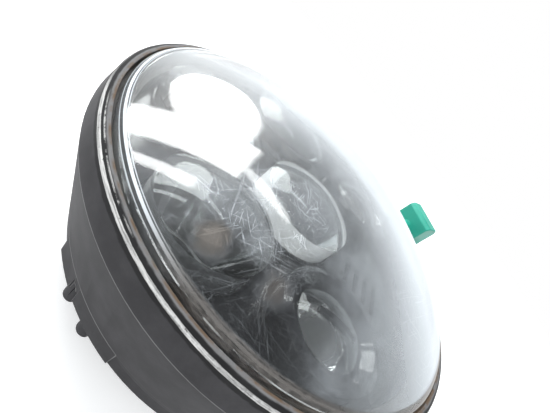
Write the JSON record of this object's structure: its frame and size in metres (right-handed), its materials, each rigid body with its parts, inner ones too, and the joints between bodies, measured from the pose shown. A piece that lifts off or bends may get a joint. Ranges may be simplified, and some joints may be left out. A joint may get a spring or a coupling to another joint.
{
  "type": "motorcycle headlight",
  "caption": "Round LED motorcycle headlamp insert: finned black die-cast housing, clear domed cover, lens units in a glossy bezel, and a short lead with a three-blade plug.",
  "frame": {"origin": "on the optical axis, in the plane of the cooling fins' rear edges, which the lamp stands on", "axes": "+Z along the optical axis, out of the lens; +Y towards the lamp's top as fitted; +X to the right seen from the front"},
  "size_m": [0.2915, 0.2125, 0.071],
  "materials": {
    "housing_coat": "matte black coating, worn bright on the rim's edge",
    "clear_cover": "clear, fine scratches and haze",
    "seal_rubber": "matte, dirty",
    "bezel_black": "glossy",
    "optic_clear": "clear",
    "holder_black": "satin",
    "board_white": "white solder mask",
    "emitter_yellow": "phosphor",
    "thermal_grey": "soft matte",
    "screw_steel": "zinc plated",
    "board_green": "solder mask",
    "cable_jacket": "satin",
    "plug_green": "moulded",
    "blade_tin": "tinned, dull"
  },
  "bodies": {
    "root": {"housing": "housing_coat", "lens_cover": "clear_cover", "lens_seal": "seal_rubber", "inner_bezel": "bezel_black", "lens_centre": "optic_clear", "lens_top": "optic_clear", "lens_upper_left": "optic_clear", "lens_upper_right": "optic_clear", "lens_lower_left": "optic_clear", "lens_lower_right": "optic_clear", "collar_lower_left": "bezel_black", "collar_lower_right": "bezel_black", "holder_centre": "holder_black", "holder_top": "holder_black", "holder_upper_left": "holder_black", "holder_upper_right": "holder_black", "holder_lower_left": "holder_black", "holder_lower_right": "holder_black", "led_board": "board_white", "led_emitters": "emitter_yellow", "thermal_pad": "thermal_grey", "board_screws": "screw_steel", "driver_board": "board_green", "driver_parts": "holder_black", "driver_spacers": "screw_steel", "vent_plug": "seal_rubber", "cable_grommet": "seal_rubber", "cable": "cable_jacket", "plug_body": "plug_green", "plug_blades": "blade_tin"}
  },
  "joints": []
}
